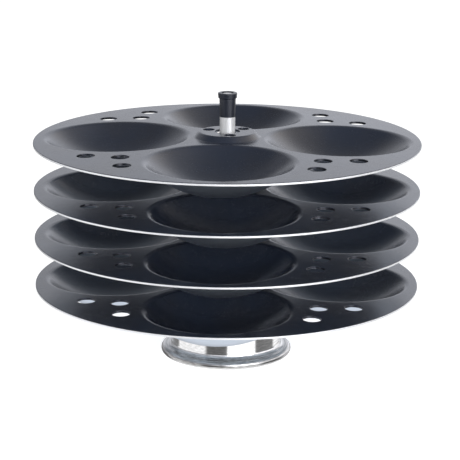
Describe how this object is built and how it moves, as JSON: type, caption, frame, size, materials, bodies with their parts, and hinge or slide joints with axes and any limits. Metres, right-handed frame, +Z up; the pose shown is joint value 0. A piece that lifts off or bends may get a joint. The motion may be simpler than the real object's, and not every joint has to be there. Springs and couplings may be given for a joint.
{
  "type": "idli steamer stand",
  "caption": "Tiered stand of round pressed plates with shallow cups and steam holes, stacked on a central rod with a knob and a rolled round base.",
  "frame": {"origin": "centre of the base's underside, on the rod's axis", "axes": "+Z up along the rod; +X and -Y point at cups of the top plate, and -Y is the front in the picture"},
  "size_m": [0.2, 0.2, 0.1388],
  "materials": {
    "nonstick_plate": "non-stick coated",
    "polished_aluminium": "polished",
    "spacer_aluminium": "satin",
    "rod_steel": "bright",
    "fastener_steel": "plated",
    "knob_plastic": "moulded phenolic"
  },
  "bodies": {
    "stand": {"base": "polished_aluminium", "rod": "rod_steel", "base_washer": "fastener_steel", "base_nut": "fastener_steel", "knob": "knob_plastic", "knob_screw": "fastener_steel"},
    "spacer_4": {"spacer_4": "spacer_aluminium"},
    "plate_4": {"plate_4": "nonstick_plate"},
    "spacer_3": {"spacer_3": "spacer_aluminium"},
    "plate_3": {"plate_3": "nonstick_plate"},
    "spacer_2": {"spacer_2": "spacer_aluminium"},
    "plate_2": {"plate_2": "nonstick_plate"},
    "spacer_1": {"spacer_1": "spacer_aluminium"},
    "plate_1": {"plate_1": "nonstick_plate"}
  },
  "joints": [
    {"name": "tier_4_lift", "type": "slide", "parent": "stand", "child": "spacer_4", "axis": [0, 0, 1], "range_m": [0, 0.115]},
    {"name": "plate_4_turn", "type": "hinge", "parent": "spacer_4", "child": "plate_4", "pos_m": [0, 0, 0.03905], "axis": [0, 0, 1], "continuous": true},
    {"name": "tier_3_lift", "type": "slide", "parent": "spacer_4", "child": "spacer_3", "axis": [0, 0, 1], "range_m": [0, 0.1]},
    {"name": "plate_3_turn", "type": "hinge", "parent": "spacer_3", "child": "plate_3", "pos_m": [0, 0, 0.06405], "axis": [0, 0, 1], "continuous": true},
    {"name": "tier_2_lift", "type": "slide", "parent": "spacer_3", "child": "spacer_2", "axis": [0, 0, 1], "range_m": [0, 0.075]},
    {"name": "plate_2_turn", "type": "hinge", "parent": "spacer_2", "child": "plate_2", "pos_m": [0, 0, 0.08905], "axis": [0, 0, 1], "continuous": true},
    {"name": "tier_1_lift", "type": "slide", "parent": "spacer_2", "child": "spacer_1", "axis": [0, 0, 1], "range_m": [0, 0.05]},
    {"name": "plate_1_turn", "type": "hinge", "parent": "spacer_1", "child": "plate_1", "pos_m": [0, 0, 0.11405], "axis": [0, 0, 1], "continuous": true}
  ]
}
